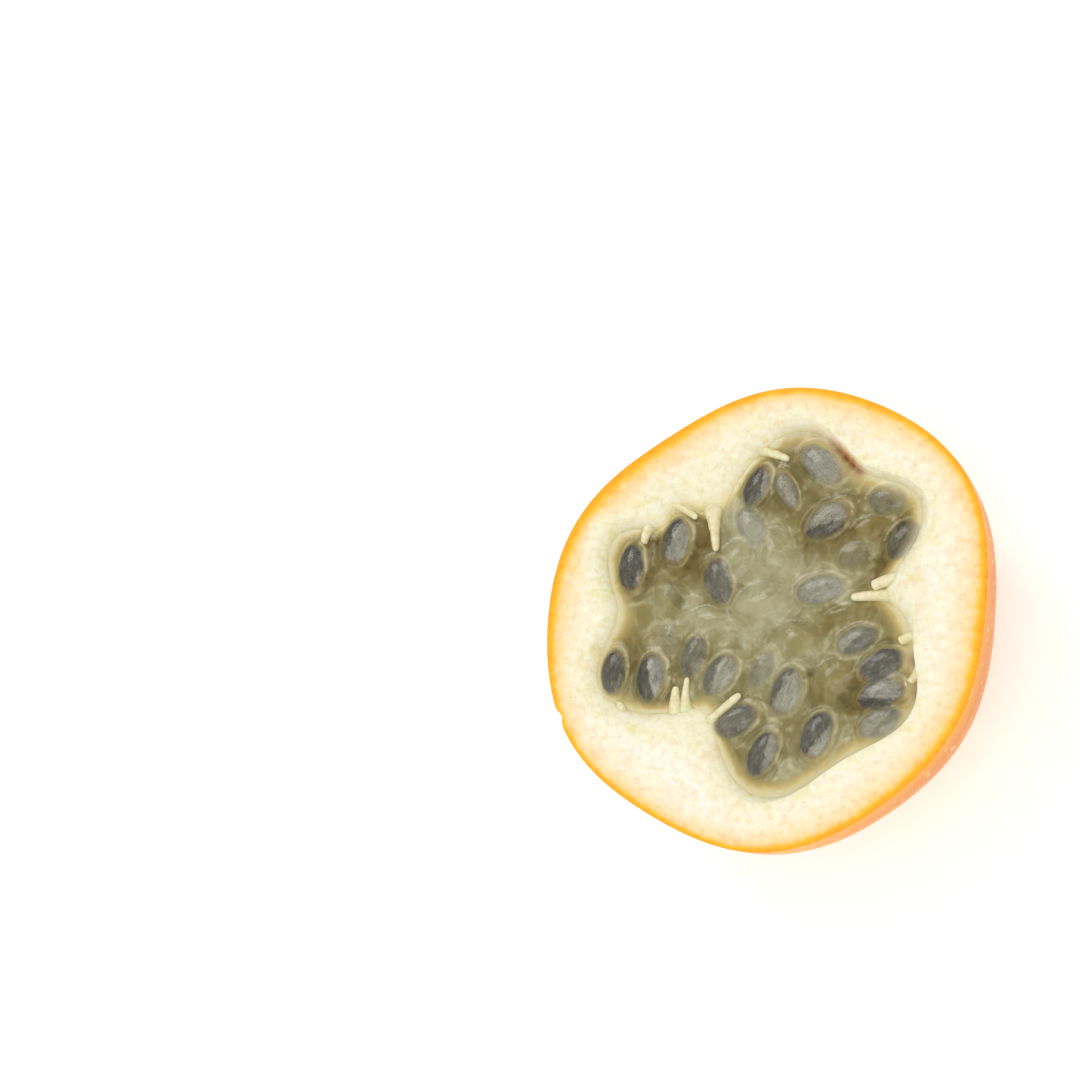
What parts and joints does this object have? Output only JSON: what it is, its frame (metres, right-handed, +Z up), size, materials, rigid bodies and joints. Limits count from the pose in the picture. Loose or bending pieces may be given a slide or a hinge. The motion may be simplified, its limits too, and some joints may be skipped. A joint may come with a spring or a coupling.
{
  "type": "passion fruit half",
  "caption": "Half of an orange passion fruit, cut across: a speckled rind with a thick white lining round a hollow full of olive-grey jelly sacs with dark seeds.",
  "frame": {"origin": "middle of the small flat on the rind that the half rests on", "axes": "+Z up, out of the cut face; the cut face is level"},
  "size_m": [0.0659, 0.0672, 0.034],
  "materials": {
    "rind": "waxy orange skin with pale speckles, white spongy lining at the cut",
    "pulp": "wet olive-grey jelly with dark seeds in it"
  },
  "bodies": {
    "root": {"shell": "rind", "pulp": "pulp"}
  },
  "joints": []
}
